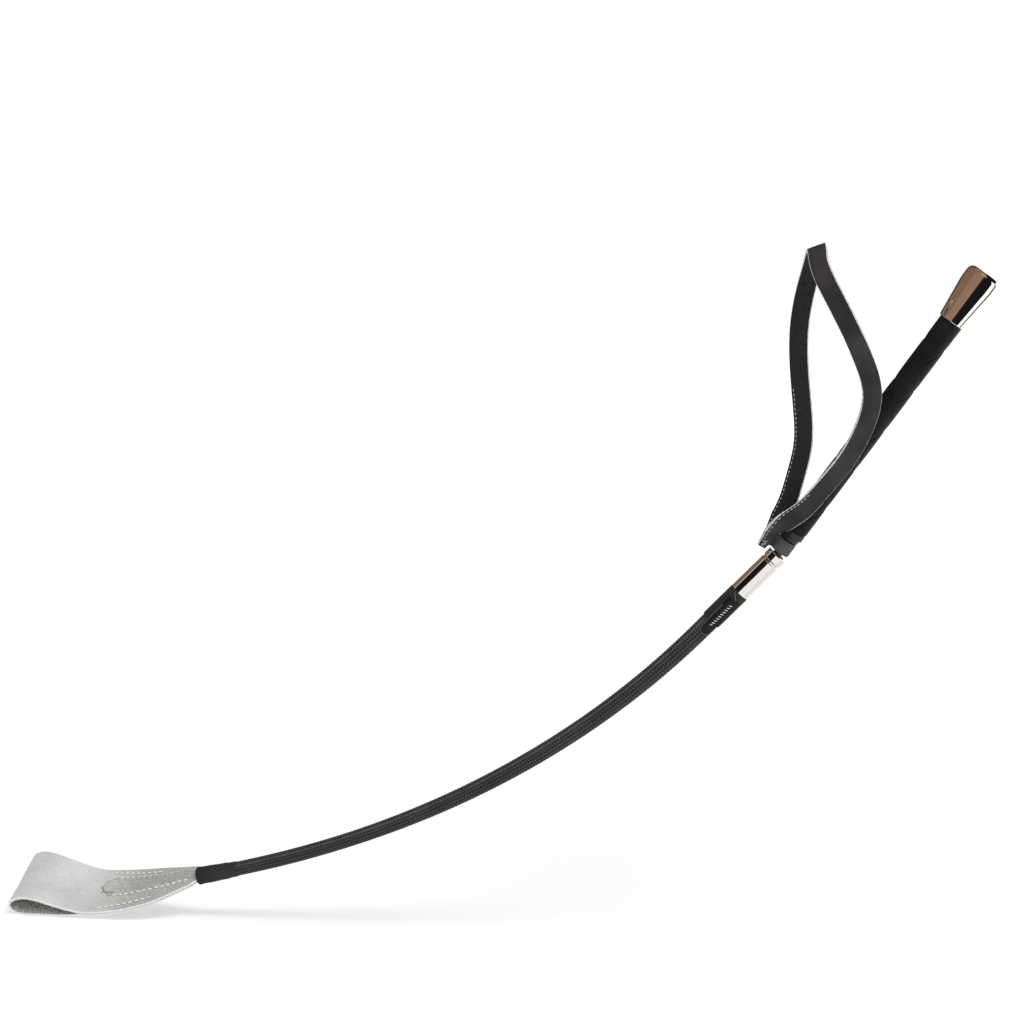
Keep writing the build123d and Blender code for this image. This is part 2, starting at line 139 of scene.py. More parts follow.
def natural_curve(points, samples):
    """A smooth curve through the points: evenly spaced samples by chord length."""
    p = np.array(points, float)
    t = np.concatenate([[0], np.cumsum(np.linalg.norm(np.diff(p, axis=0), axis=1))])
    n = len(p)
    h = np.diff(t)
    system = np.zeros((n, n))
    right = np.zeros((n, p.shape[1]))
    system[0, 0] = 1
    system[-1, -1] = 1
    for i in range(1, n - 1):
        system[i, i - 1] = h[i - 1]
        system[i, i] = 2 * (h[i - 1] + h[i])
        system[i, i + 1] = h[i]
        right[i] = 6 * ((p[i + 1] - p[i]) / h[i] - (p[i] - p[i - 1]) / h[i - 1])
    second = np.linalg.solve(system, right)
    u = np.linspace(0, t[-1], samples)
    k = np.clip(np.searchsorted(t, u, side="right") - 1, 0, n - 2)
    a = ((t[k + 1] - u) / h[k])[:, None]
    b = ((u - t[k]) / h[k])[:, None]
    square = (h[k] ** 2 / 6)[:, None]
    return a * p[k] + b * p[k + 1] + ((a**3 - a) * second[k] + (b**3 - b) * second[k + 1]) * square


# ---- meshes -------------------------------------------------------------------------------


def smooth(x):
    x = np.clip(x, 0, 1)
    return x * x * (3 - 2 * x)


def new_object(name, vertices, faces, materials, indices=None, uv=None):
    """A smooth-shaded mesh object; uv holds one pair for each corner of each face."""
    mesh = bpy.data.meshes.new(name)
    mesh.from_pydata(vertices, [], faces)
    mesh.polygons.foreach_set("use_smooth", [True] * len(mesh.polygons))
    if indices is not None:
        mesh.polygons.foreach_set("material_index", indices)
    if uv is not None:
        layer = mesh.uv_layers.new(name="UVMap")
        layer.data.foreach_set("uv", np.asarray(uv, np.float32).ravel())
    rest = mesh.attributes.new("rest", "FLOAT_VECTOR", "POINT")
    rest.data.foreach_set("vector", np.asarray(vertices, np.float32).ravel())
    for material in materials:
        mesh.materials.append(material)
    mesh.update()
    obj = bpy.data.objects.new(name, mesh)
    bpy.context.scene.collection.objects.link(obj)
    return obj


def looks_inward(corners):
    """Whether most of a tube's faces, an array of quads, look towards its middle."""
    a, b, c, d = (corners - corners.mean((0, 1))).transpose(1, 0, 2)
    volumes = (a * np.cross(b, c)).sum(1) + (a * np.cross(c, d)).sum(1)
    return volumes.sum() < 0


def grid_object(name, points, materials, u, v, wrap=True, caps=False, index=None):
    """A sheet or tube of quads over points[row][column]; u and v give its mapping in mm."""
    rows, columns = points.shape[:2]
    across = columns if wrap else columns - 1
    i = np.arange(rows - 1)[:, None]
    j = np.arange(across)[None, :]
    after = (j + 1) % columns
    faces = np.stack([i * columns + j, i * columns + after, (i + 1) * columns + after,
                      (i + 1) * columns + j], -1).reshape(-1, 4)
    us = np.stack([u[i] + 0 * j, u[i] + 0 * j, u[i + 1] + 0 * j, u[i + 1] + 0 * j], -1)
    vs = np.stack([v[j] + 0 * i, v[j + 1] + 0 * i, v[j + 1] + 0 * i, v[j] + 0 * i], -1)
    uv = np.stack([us, vs], -1)
    turned_over = wrap and looks_inward(points.reshape(-1, 3)[faces])
    if turned_over:
        faces = faces[:, ::-1]
        uv = uv[:, :, ::-1]
    uv = uv.reshape(-1, 2)
    indices = np.zeros(len(faces), int)
    if index is not None:
        indices = np.tile(index, rows - 1)
    face_list = faces.tolist()
    if caps:
        way = -1 if turned_over else 1
        face_list.append(list(range(columns))[::-way])
        face_list.append(list(range((rows - 1) * columns, rows * columns))[::way])
        uv = np.concatenate([uv, np.zeros((2 * columns, 2))])
        indices = np.concatenate([indices, [0, 0]])
    return new_object(name, points.reshape(-1, 3).tolist(), face_list, materials,
                      indices.tolist(), uv)


def point_values(obj, name, values):
    """A number on each vertex, which a material can read."""
    layer = obj.data.attributes.new(name, "FLOAT", "POINT")
    layer.data.foreach_set("value", np.asarray(values, np.float32).ravel())


def around(count):
    """Angles round a tube, from the back over the top to the back; 0 is the front."""
    return -PI + 2 * PI * np.arange(count) / count


def tube_points(line, distances, angles, radii):
    """Points on a tube: angle 0 faces the front, and a right angle faces up."""
    places, uppers, _ = frames(line, distances)
    front = -np.array(SIDE)
    ring = (np.cos(angles)[None, :, None] * front
            + np.sin(angles)[None, :, None] * uppers[:, None, :])
    return places[:, None, :] + ring * radii[:, :, None] * MM


def tube_object(name, line, distances, radii, count, materials, caps=False):
    angles = around(count)
    radii = np.broadcast_to(radii, (len(distances), count))
    middle = float(np.mean(radii))
    v = np.append(angles, PI) * middle
    points = tube_points(line, distances, angles, radii)
    return grid_object(name, points, materials, np.array(distances, float), v, caps=caps)


def arc(middle_r, middle_s, radius, first, last, count=8):
    """Points (radius, distance) on a rounded corner of a turned outline."""
    angles = np.radians(np.linspace(first, last, count))
    return [(middle_r + radius * math.cos(a), middle_s + radius * math.sin(a)) for a in angles]


def lathe(name, line, outline, materials, count=96, caps=False):
    """A turned piece from an outline of (radius, distance) corners."""
    radii = np.array([r for r, _ in outline])[:, None]
    return tube_object(name, line, [s for _, s in outline], radii, count, materials, caps)


def thread_segment(a, b, up, width, height):
    """Vertices and quads of one stitch: a thread from a to b that arches over the surface."""
    a, b, up = Vector(a), Vector(b), Vector(up).normalized()
    along = (b - a).normalized()
    across = along.cross(up)
    rings = []
    for t in np.linspace(0, 1, 7):
        lift = height * (0.25 + 0.75 * math.sin(PI * t)) - height * 0.35
        wide = width / 2 * (0.55 + 0.45 * math.sin(PI * t))
        centre = a.lerp(b, t) + up * lift
        ring = [centre + across * wide * math.cos(g) + up * height * 0.5 * math.sin(g)
                for g in np.linspace(0, 2 * PI, 9)[:-1]]
        rings.append(ring)
    vertices = [p for ring in rings for p in ring]
    faces = []
    for i in range(6):
        for j in range(8):
            k = (j + 1) % 8
            faces.append((i * 8 + j, i * 8 + k, i * 8 + 8 + k, i * 8 + 8 + j))
    faces.append(tuple(range(8))[::-1])
    faces.append(tuple(range(48, 56)))
    return vertices, faces


def stitches_object(name, stitches, material):
    """One mesh of all the stitches: (start, end, surface normal, width, height), in metres."""
    vertices, faces = [], []
    for a, b, up, width, height in stitches:
        more, quads = thread_segment(a, b, up, width, height)
        first = len(vertices)
        vertices += more
        faces += [tuple(first + i for i in face) for face in quads]
    return new_object(name, vertices, faces, [material])


# ---- materials ----------------------------------------------------------------------------


class Finish:
    """A procedural material: a principled shader and the nodes that feed it."""

    def __init__(self, name, colour, roughness, metallic=0.0, specular=0.5, source="object"):
        self.material = bpy.data.materials.new(name)
        self.material.use_nodes = True
        self.tree = self.material.node_tree
        self.shader = self.tree.nodes["Principled BSDF"]
        self.set("Base Color", (*colour, 1))
        self.set("Roughness", roughness)
        self.set("Metallic", metallic)
        self.set("Specular IOR Level", specular)
        self.colour = colour
        self.height = None
        if source == "uv":
            self.place = self.add("ShaderNodeUVMap", uv_map="UVMap").outputs["UV"]
        elif source == "rest":
            self.place = self.add("ShaderNodeAttribute", attribute_name="rest").outputs["Vector"]
        else:
            self.place = self.add("ShaderNodeTexCoord").outputs["Object"]

    def set(self, socket, value):
        self.shader.inputs[socket].default_value = value

    def add(self, kind, inputs=None, **settings):
        node = self.tree.nodes.new(kind)
        for key, value in settings.items():
            setattr(node, key, value)
        for key, value in (inputs or {}).items():
            if isinstance(value, bpy.types.NodeSocket):
                self.tree.links.new(value, node.inputs[key])
            else:
                node.inputs[key].default_value = value
        return node

    def math(self, operation, *values, clamp=False):
        node = self.add("ShaderNodeMath", operation=operation, use_clamp=clamp)
        for i, value in enumerate(values):
            if isinstance(value, bpy.types.NodeSocket):
                self.tree.links.new(value, node.inputs[i])
            else:
                node.inputs[i].default_value = value
        return node.outputs[0]

    def noise(self, scale, detail=4.0, roughness=0.55, place=None):
        inputs = {"Vector": place or self.place, "Scale": scale, "Detail": detail,
                  "Roughness": roughness}
        return self.add("ShaderNodeTexNoise", inputs).outputs["Fac"]

    def cells(self, scale, feature="F1", place=None):
        inputs = {"Vector": place or self.place, "Scale": scale}
        return self.add("ShaderNodeTexVoronoi", inputs, feature=feature).outputs["Distance"]

    def spread(self, value, low, high, to_low=0.0, to_high=1.0):
        inputs = {"Value": value, "From Min": low, "From Max": high, "To Min": to_low,
                  "To Max": to_high}
        return self.add("ShaderNodeMapRange", inputs).outputs["Result"]

    def blend_colours(self, factor, first, second):
        node = self.add("ShaderNodeMix", data_type="RGBA")
        self.tree.links.new(factor, node.inputs["Factor"])
        for key, colour in ((6, first), (7, second)):
            if isinstance(colour, bpy.types.NodeSocket):
                self.tree.links.new(colour, node.inputs[key])
            else:
                node.inputs[key].default_value = (*colour, 1)
        return node.outputs[2]

    def link(self, socket, value):
        self.tree.links.new(value, self.shader.inputs[socket])

    def bump(self, value, distance, strength=1.0):
        """Adds relief: several calls stack up."""
        inputs = {"Height": value, "Distance": distance, "Strength": strength}
        if self.height is not None:
            inputs["Normal"] = self.height
        self.height = self.add("ShaderNodeBump", inputs).outputs["Normal"]
        self.link("Normal", self.height)

    def scaled(self, x, y, z=1.0):
        """The mapping, stretched by different amounts along and across."""
        inputs = {"Vector": self.place, "Scale": (x, y, z)}
        return self.add("ShaderNodeMapping", inputs).outputs["Vector"]


def leather(name, dark, light, roughness, grain, depth=0.00006, source="object", specular=0.4,
            size=1.0):
    """Smooth leather: pebbled grain, soft colour patches and slightly shinier high spots."""
    f = Finish(name, dark, roughness, specular=specular, source=source)
    patches = f.spread(f.noise(60 * size, 3.0), 0.35, 0.7)
    pebble = f.cells(grain * size)
    fine = f.noise(grain * 1.7 * size, 5.0, 0.6)
    f.link("Base Color", f.blend_colours(patches, dark, light))
    f.link("Roughness", f.spread(fine, 0.3, 0.7, roughness - 0.08, roughness + 0.1))
    f.bump(pebble, depth, 0.5)
    f.bump(fine, depth * 0.7, 0.4)
    return f


def chrome(name):
    f = Finish(name, (0.83, 0.81, 0.78), 0.05, metallic=1.0)
    smears = f.noise(90, 3.0)
    f.link("Roughness", f.spread(smears, 0.35, 0.75, 0.05, 0.08))
    f.link("Base Color", f.blend_colours(f.spread(smears, 0.4, 0.8), (0.84, 0.82, 0.79),
                                         (0.78, 0.76, 0.73)))
    return f


cap_chrome = chrome("cap_chrome")
ferrule_chrome = chrome("ferrule_chrome")

grip_leather = leather("grip_leather", (0.0055, 0.0055, 0.006), (0.013, 0.0125, 0.013), 0.46,
                       1900, depth=0.00008, specular=0.16)
strap_leather = leather("strap_leather", (0.019, 0.018, 0.021), (0.040, 0.037, 0.042), 0.44,
                        2300, specular=0.25)
collar_leather = leather("collar_leather", (0.060, 0.057, 0.060), (0.105, 0.10, 0.105), 0.6,
                         2100, specular=0.2)
label_leather = leather("label_leather", (0.007, 0.007, 0.0075), (0.012, 0.012, 0.0125), 0.36,
                        2600, depth=0.00003, specular=0.16)
binding_black = leather("binding_black", (0.017, 0.0165, 0.019), (0.032, 0.031, 0.035), 0.5,
                        1500, depth=0.00004, specular=0.2)

flesh = Finish("strap_flesh_side", (0.03, 0.03, 0.032), 0.95, specular=0.15)
flesh.link("Base Color", flesh.blend_colours(flesh.spread(flesh.noise(1500, 6.0), 0.3, 0.7),
                                             (0.008, 0.008, 0.009), (0.026, 0.026, 0.027)))
flesh.set("Sheen Weight", 0.05)
flesh.set("Sheen Roughness", 0.6)
flesh.bump(flesh.noise(2600, 6.0, 0.7), 0.0001, 0.7)

strap_edge = Finish("strap_cut_edge", (0.36, 0.35, 0.34), 0.85, specular=0.2)
fibres = strap_edge.noise(1300, 5.0, 0.7)
strap_edge.link("Base Color", strap_edge.blend_colours(strap_edge.spread(fibres, 0.35, 0.65),
                                                       (0.20, 0.20, 0.205), (0.88, 0.87, 0.86)))
strap_edge.bump(fibres, 0.00012, 0.6)

ring_plastic = Finish("ring_plastic", (0.012, 0.012, 0.013), 0.38, specular=0.4)
ring_plastic.link("Roughness", ring_plastic.spread(ring_plastic.noise(700), 0.3, 0.7, 0.3, 0.48))
ring_plastic.bump(ring_plastic.noise(2600, 3.0), 0.00003, 0.4)

core_plastic = Finish("core_plastic", (0.16, 0.16, 0.17), 0.5)
core_plastic.link("Roughness", core_plastic.spread(core_plastic.noise(400), 0.3, 0.7, 0.42, 0.6))
core_plastic.bump(core_plastic.noise(1400, 3.0), 0.00003, 0.4)

glass_fibre = Finish("glass_fibre", (0.02, 0.02, 0.02), 0.35)
strands = glass_fibre.noise(1.0, 4.0, place=glass_fibre.scaled(300, 2600, 300))
glass_fibre.link("Base Color", glass_fibre.blend_colours(glass_fibre.spread(strands, 0.3, 0.7),
                                                         (0.010, 0.010, 0.010), (0.035, 0.035, 0.034)))
glass_fibre.bump(strands, 0.00003, 0.4)

padding = Finish("padding", (0.5, 0.49, 0.46), 0.95, specular=0.2)
fluff = padding.noise(1800, 6.0, 0.7)
padding.link("Base Color", padding.blend_colours(padding.spread(fluff, 0.3, 0.7),
                                                 (0.36, 0.35, 0.33), (0.62, 0.61, 0.58)))
padding.bump(fluff, 0.0002, 0.7)


def woven(name, low, high, fineness):
    """Plaited cord: fine filaments in each thread, faint changes along the length, and painted shade:
    the colour goes to near black where the threads lie low.
    """
    f = Finish(name, low, 0.58, specular=0.3, source="rest")
    patches = f.noise(70.0, 2.0)
    filaments = f.noise(fineness, 3.0)
    lit = f.math("ADD", f.math("MULTIPLY", filaments, 0.6), f.math("MULTIPLY", patches, 0.4))
    # painted shade: the thread height stored on the mesh turns the colour to near black in the gaps
    # between threads
    raised = f.add("ShaderNodeAttribute", attribute_name="raised").outputs["Fac"]
    threads = f.blend_colours(f.spread(lit, 0.34, 0.66), low, high)
    f.link("Base Color", f.blend_colours(f.math("POWER", raised, 1.6), (0.003, 0.003, 0.003),
                                         threads))
    f.link("Roughness", f.spread(filaments, 0.3, 0.7, 0.5, 0.7))
    f.set("Sheen Weight", 0.12)
    f.set("Sheen Roughness", 0.5)
    f.bump(filaments, 0.00007, 0.6)
    return f


braid_cord = woven("braid", (0.040, 0.039, 0.041), (0.135, 0.130, 0.136), 2600)
sleeve_weave = woven("sleeve_weave", (0.018, 0.018, 0.018), (0.050, 0.048, 0.048), 3200)

silver = Finish("keeper_leather", (0.7, 0.7, 0.69), 0.5, metallic=0.25, specular=0.45,
                source="rest")
glitter = silver.cells(1500)
soft = silver.noise(55, 3.0)
grains = silver.noise(1100, 5.0, 0.7)
tone = silver.math("ADD", silver.math("MULTIPLY", grains, 0.6),
                   silver.math("MULTIPLY", soft, 0.4))
# painted shadow and painted shade: a per-vertex value darkens the silver at the pocket's rounded end
# and along the stitch lines, and tones it darker in the pocket and towards the shaft end
darkening = silver.add("ShaderNodeAttribute", attribute_name="painted_shade_and_tone").outputs["Fac"]
speckle = silver.spread(glitter, 0.15, 0.6, 0.55, 1.25)
unshaded = silver.blend_colours(silver.spread(tone, 0.36, 0.64), (0.60, 0.605, 0.595),
                             (0.86, 0.865, 0.85))
darkened = silver.blend_colours(silver.spread(grains, 0.36, 0.64), (0.22, 0.225, 0.19),
                              (0.56, 0.565, 0.52))
silver.link("Base Color", silver.blend_colours(
    silver.math("MULTIPLY", darkening, speckle, clamp=True), unshaded, darkened))
silver.link("Roughness", silver.spread(glitter, 0.1, 0.7, 0.4, 0.62))
silver.bump(glitter, 0.00007, 0.4)
silver.bump(grains, 0.00005, 0.4)

suede = Finish("keeper_suede", (0.2, 0.21, 0.19), 0.97, specular=0.1, source="rest")
nap = suede.noise(1200, 6.0, 0.75)
suede.link("Base Color", suede.blend_colours(suede.spread(nap, 0.40, 0.60),
                                             (0.09, 0.095, 0.085), (0.66, 0.67, 0.63)))
suede.set("Sheen Weight", 0.3)
suede.set("Sheen Roughness", 0.6)
suede.bump(nap, 0.00025, 0.8)

cut_edge = Finish("keeper_cut_edge", (0.78, 0.78, 0.8), 0.8, specular=0.25, source="rest")
fuzz = cut_edge.noise(2200, 6.0, 0.7)
cut_edge.link("Base Color", cut_edge.blend_colours(cut_edge.spread(fuzz, 0.3, 0.62),
                                                   (0.60, 0.60, 0.64), (0.95, 0.95, 0.96)))
cut_edge.bump(fuzz, 0.00012, 0.5)


def thread(name, low, high):
    f = Finish(name, high, 0.65, specular=0.3)
    ply = f.noise(2800, 4.0, 0.6)
    f.link("Base Color", f.blend_colours(f.spread(ply, 0.3, 0.6), low, high))
    f.bump(ply, 0.00008, 0.6)
    f.set("Sheen Weight", 0.2)
    return f


white_thread = thread("white_thread", (0.80, 0.80, 0.79), (0.97, 0.97, 0.96))
strap_thread = thread("strap_thread", (0.22, 0.22, 0.23), (0.50, 0.50, 0.50))
mark_white = thread("label_marks", (0.60, 0.60, 0.60), (0.86, 0.86, 0.86))
mark_grey = thread("label_edge", (0.07, 0.07, 0.075), (0.15, 0.15, 0.155))


def placed(obj, body, nodes):
    """The object rides on a body and stands for its CAD nodes."""
    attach(obj, body)
    if nodes:
        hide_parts(*nodes)
    return obj


# ---- handle -------------------------------------------------------------------------------

CAP_R = 6.05
CAP_START = 127.0
CAP_END = 152.0
CAP_FLARED_R = 8.2
CAP_FLARE_END = 144.5
CAP_EDGE_R = 3.0
outline = ([(5.3, CAP_START + 2.0), (5.3, CAP_START + 0.15)]
           + arc(5.75, CAP_START + 0.2, 0.3, 210, 360, 7)
           + [(CAP_R + 0.07, CAP_START + 0.6)]
           + [(CAP_R + (CAP_FLARED_R - CAP_R) * t, CAP_START + (CAP_FLARE_END - CAP_START) * t)
              for t in (0.25, 0.5, 0.75, 0.96)] + [(CAP_FLARED_R, CAP_FLARE_END + 0.8)]
           + arc(CAP_FLARED_R - CAP_EDGE_R, CAP_END - CAP_EDGE_R - 0.25, CAP_EDGE_R, 0, 82, 22)
           + [(4.0, CAP_END - 0.12), (2.4, CAP_END - 0.04), (1.0, CAP_END - 0.01),
              (0.05, CAP_END)])
cap = lathe("end_cap_shell", handle_at, outline, [cap_chrome.material], 128, caps=True)
placed(cap, "handle", ["end_cap"])

WRAP_START = 15.5
WRAP_END = 129.0
STRIP_PITCH = 42.0
wrap_along = np.arange(WRAP_START, WRAP_END, 0.32)
wrap_angles = around(112)
turns = wrap_angles[None, :] / (2 * PI)
rising = 2 * (wrap_along[:, None] / STRIP_PITCH + turns)
falling = 2 * (wrap_along[:, None] / STRIP_PITCH - turns)
rising_over = (np.floor(rising) + np.floor(falling)) % 2 < 1


def strip_relief(phase):
    """Height across one flat strip of the plaited grip: flat in the middle, down at its edges."""
    x = phase - np.floor(phase)
    near_edge = np.minimum(x, 1 - x)
    return smooth(near_edge / 0.11) * 0.75 + 0.25 * np.sin(PI * x)


top_strip = np.where(rising_over, strip_relief(rising), strip_relief(falling))
under_strip = np.where(rising_over, strip_relief(falling), strip_relief(rising))
ends = smooth((wrap_along - WRAP_START) / 1.2)[:, None]
wrap_radii = 4.95 + 0.36 * top_strip * (0.82 + 0.18 * under_strip) - 0.25 * (1 - ends)
grip = tube_object("grip_plait", handle_at, wrap_along, wrap_radii, 112,
                   [grip_leather.material])
placed(grip, "handle", ["handle_wrap"])

outline = ([(2.1, 10.6), (3.9, 10.5)] + arc(4.1, 10.8, 0.3, 270, 360, 5)
           + [(4.4, 12.2)] + arc(4.95, 12.8, 0.3, 180, 360, 7)
           + [(5.25, 14.6)] + arc(4.75, 14.9, 0.5, 0, 80, 6) + [(4.4, 15.45)])
end_ring = lathe("grip_end_ring", handle_at, outline, [ring_plastic.material], 96)
placed(end_ring, "handle", ["handle_end_ring"])

# ---- ferrule, sleeve and label ------------------------------------------------------------

outline = ([(3.0, 3.6), (3.0, -1.9)] + arc(3.35, -2.1, 0.3, 180, 270, 5)
           + arc(4.35, -2.05, 0.35, 270, 360, 6) + [(4.7, -0.6)]
           + arc(4.45, 1.05, 0.25, 0, 80, 5) + arc(4.35, 1.75, 0.15, 260, 180, 4)
           + [(4.2, 2.0)] + arc(4.4, 2.4, 0.2, 180, 100, 4)
           + arc(4.35, 2.8, 0.2, 290, 360, 4) + [(4.55, 6.0), (4.55, 12.0), (4.55, 18.0)]
           + [(4.55, 21.1)] + arc(4.35, 21.35, 0.2, 0, 90, 5) + [(4.1, 21.55)])
ferrule = lathe("ferrule_tube", shaft_at, outline, [ferrule_chrome.material], 128)
placed(ferrule, "ferrule", ["ferrule"])

SHAFT_R_THICK = 4.05
SHAFT_R_THIN = 3.27


def braid_radius(s):
    return SHAFT_R_THICK + (SHAFT_R_THIN - SHAFT_R_THICK) * np.clip((s - 40) / 200, 0, 1)


def plait_relief(distances, angles, columns, pitch, slant):
    """Height, 0 to 1, of rows of slanted threads that alternate like plaited cord."""
    turn = (angles[None, :] + PI) / (2 * PI) * columns
    column = np.floor(turn + 1e-9)
    x = turn - column
    sign = 1 - 2 * (column % 2)
    phase = distances[:, None] / pitch + sign * (x - 0.5) * slant
    thread_height = np.abs(np.sin(PI * phase)) ** 0.7
    return thread_height * np.sin(PI * x) ** 0.45


SLEEVE_START = 21.65
SLEEVE_END = 39.4
sleeve_along = np.arange(SLEEVE_START, SLEEVE_END + 0.9, 0.11)
sleeve_angles = around(288)
mouth = smooth((SLEEVE_END + 0.7 - sleeve_along) / 0.8)[:, None]
tuck = smooth((sleeve_along - SLEEVE_START) / 0.4)[:, None]
sleeve_relief = plait_relief(sleeve_along, sleeve_angles, 48, 0.62, 0.6)
sleeve_radii = (4.1 + 0.52 * mouth) + 0.10 * sleeve_relief * mouth - 0.3 * (1 - tuck)
sleeve = tube_object("label_sleeve_weave", shaft_at, sleeve_along, sleeve_radii, 288,
                     [sleeve_weave.material])
# the thread heights, which the weave's colour turns into painted shade in the gaps
point_values(sleeve, "raised", sleeve_relief)
placed(sleeve, "ferrule", ["label_sleeve"])


def surface_radius(s):
    """Radius of what lies under the label: the sleeve, and then the braid."""
    return 4.1 + 0.62 * smooth((SLEEVE_END + 0.7 - s) / 1.1)


PATCH_START = 25.0
PATCH_END = 46.3
PATCH_HALF = 3.4
PATCH_T = 0.3
PATCH_TURN = math.radians(-20)


def patch_point(s, across, lift):
    """A point on the label: across is measured round the sleeve, lift above it."""
    radius = surface_radius(np.array(s))
    place, direction = shaft_at(s)
    angle = PATCH_TURN + across / 4.65
    normal = -SIDE * math.cos(angle) + SIDE.cross(direction) * math.sin(angle)
    return place + normal * (float(radius) + lift) * MM, normal


def patch_half_width(s):
    past = s - (PATCH_END - PATCH_HALF)
    return PATCH_HALF * math.sqrt(max(0.0, 1 - (past / PATCH_HALF) ** 2)) if past > 0 else PATCH_HALF


rows = []
stops = np.concatenate([np.linspace(PATCH_START, PATCH_END - PATCH_HALF, 46),
                        PATCH_END - PATCH_HALF + PATCH_HALF * np.sin(np.linspace(0.08, PI / 2 - 0.1,
                                                                                18))])
for s in stops:
    half = patch_half_width(s)
    top = [patch_point(s, f * half, PATCH_T * math.sqrt(max(0.0, 1 - abs(f) ** 14)) + 0.05)[0]
           for f in np.sin(np.linspace(-PI / 2, PI / 2, 30))]
    rows.append([patch_point(s, -half, -0.15)[0], *top, patch_point(s, half, -0.15)[0]])
points = np.array([[list(p) for p in row] for row in rows])
patch = grid_object("label_patch_leather", points, [label_leather.material], stops,
                    np.linspace(-PATCH_HALF, PATCH_HALF, points.shape[1] + 1), wrap=True,
                    caps=True)
placed(patch, "ferrule", ["label_patch"])


def bead_object(name, points, normals, radius, material, closed=False):
    """A thin raised line along points on a surface."""
    points = [Vector(p) for p in points]
    rings = []
    for i, p in enumerate(points):
        before = points[max(i - 1, 0)]
        after = points[min(i + 1, len(points) - 1)]
        along = (after - before).normalized()
        up = Vector(normals[i]).normalized()
        across = along.cross(up).normalized()
        rings.append([p + (across * math.cos(g) + up * math.sin(g)) * radius
                      for g in np.linspace(0, 2 * PI, 9)[:-1]])
    grid = np.array([[list(q) for q in ring] for ring in rings])
    return grid_object(name, grid, [material], np.arange(len(points)) * 0.3,
                       np.linspace(0, 1, 9), wrap=True, caps=True)


edge_points, edge_normals = [], []
inset = 0.35
path = [(s, PATCH_HALF - inset) for s in np.linspace(PATCH_START + 5, PATCH_END - PATCH_HALF, 30)]
path += [(PATCH_END - PATCH_HALF + (PATCH_HALF - inset) * math.sin(g),
          (PATCH_HALF - inset) * math.cos(g)) for g in np.linspace(0.1, PI - 0.1, 30)]
path += [(s, inset - PATCH_HALF) for s in np.linspace(PATCH_END - PATCH_HALF, PATCH_START + 2, 36)]
for s, across in path:
    p, n = patch_point(s, across, PATCH_T + 0.05)
    edge_points.append(p)
    edge_normals.append(n)
outline_bead = bead_object("label_patch_outline", edge_points, edge_normals, 0.00013,
                           mark_grey.material)
placed(outline_bead, "ferrule", [])

marks = []
for i in range(10):
    s = 28.0 + 1.35 * i
    a, normal = patch_point(s - 0.35, 0.3 - 0.6, PATCH_T + 0.06)
    b, _ = patch_point(s + 0.35, 0.3 + 0.6, PATCH_T + 0.06)
    marks.append((a, b, normal, 0.00036, 0.0002))
label_marks = stitches_object("label_plain_marks", marks, mark_white.material)
placed(label_marks, "ferrule", [])

seam_points, seam_normals = [], []
for t in np.linspace(0, 1, 24):
    angle = math.radians(22 - 92 * t)
    s = 22.2 + 6.4 * t
    place, direction = shaft_at(s)
    normal = -SIDE * math.cos(angle) + SIDE.cross(direction) * math.sin(angle)
    seam_points.append(place + normal * 4.66 * MM)
    seam_normals.append(normal)
seam_bead = bead_object("label_sleeve_seam", seam_points, seam_normals, 0.00016,
                        mark_grey.material)
placed(seam_bead, "ferrule", [])

# ---- braid --------------------------------------------------------------------------------

BINDING = 20.4
BRAID_COLUMNS = 14
THREAD_PITCH = 1.5
# painted highlight: the row of threads that faces front and up is drawn lighter, for the light along
# the braid's upper side
HIGHLIGHT_COLUMN = 8          # one row of the threads is lighter than the others
BEND_REACH = 18.5          # how far before each hinge a start point is worked out, which nothing uses
middles = [STRAIGHT + SECTION * (i + 0.5) for i in range(SECTIONS)]
braid_starts = [15.0, *middles[:-1]]
braid_ends = [*middles[:-1], TIP - BINDING + 2]
for i in range(SECTIONS):
    count = int(round((braid_ends[i] - braid_starts[i]) / 0.155)) + 1
    along = np.linspace(braid_starts[i], braid_ends[i], count)
    angles = around(BRAID_COLUMNS * 9)
    relief = plait_relief(along, angles, BRAID_COLUMNS, THREAD_PITCH, 0.85)
    radii = braid_radius(along)[:, None] - 0.24 + 0.42 * relief
    piece = tube_object(f"braid_sleeve_{i + 1}", shaft_at, along, radii, BRAID_COLUMNS * 9,
                        [braid_cord.material])
    # painted shade and painted highlight: the thread heights darken the gaps, and the row that faces
    # front and up gets a higher factor than the others
    in_highlight_row = np.floor((angles + PI) / (2 * PI) * BRAID_COLUMNS + 1e-9) == HIGHLIGHT_COLUMN
    point_values(piece, "raised", relief * np.where(in_highlight_row, 1.25, 0.8)[None, :])
    station = STRAIGHT + SECTION * i
    start, _ = shaft_at(station - (1.0 if i == 0 else BEND_REACH))
    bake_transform(piece)
    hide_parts(f"braid_{i + 1}", *([f"braid_{SECTIONS + 1}"] if i == SECTIONS - 1 else []))

outline = ([(3.0, TIP - BINDING - 0.1), (3.45, TIP - BINDING + 0.05),
            (3.56, TIP - BINDING + 0.5), (3.62, TIP - BINDING + 3.2)]
           + [(3.62, TIP - BINDING + 4.0), (3.70, TIP - BINDING + 4.4),
              (3.86, TIP - BINDING + 5.0), (3.90, TIP - BINDING + 6.5)]
           + [(3.96, TIP - 10), (4.10, TIP - 5), (4.22, TIP - 1.4)]
           + arc(3.75, TIP - 0.55, 0.52, 20, 90, 7) + [(3.2, TIP - 0.15), (2.2, TIP - 0.9)])
dense = natural_curve(outline, 90)
binding = lathe("tip_binding_wrap", shaft_at, [tuple(p) for p in dense],
                [binding_black.material], 96, caps=True)
placed(binding, f"shaft_{SECTIONS + 1}", ["tip_binding"])

# ---- keeper -------------------------------------------------------------------------------

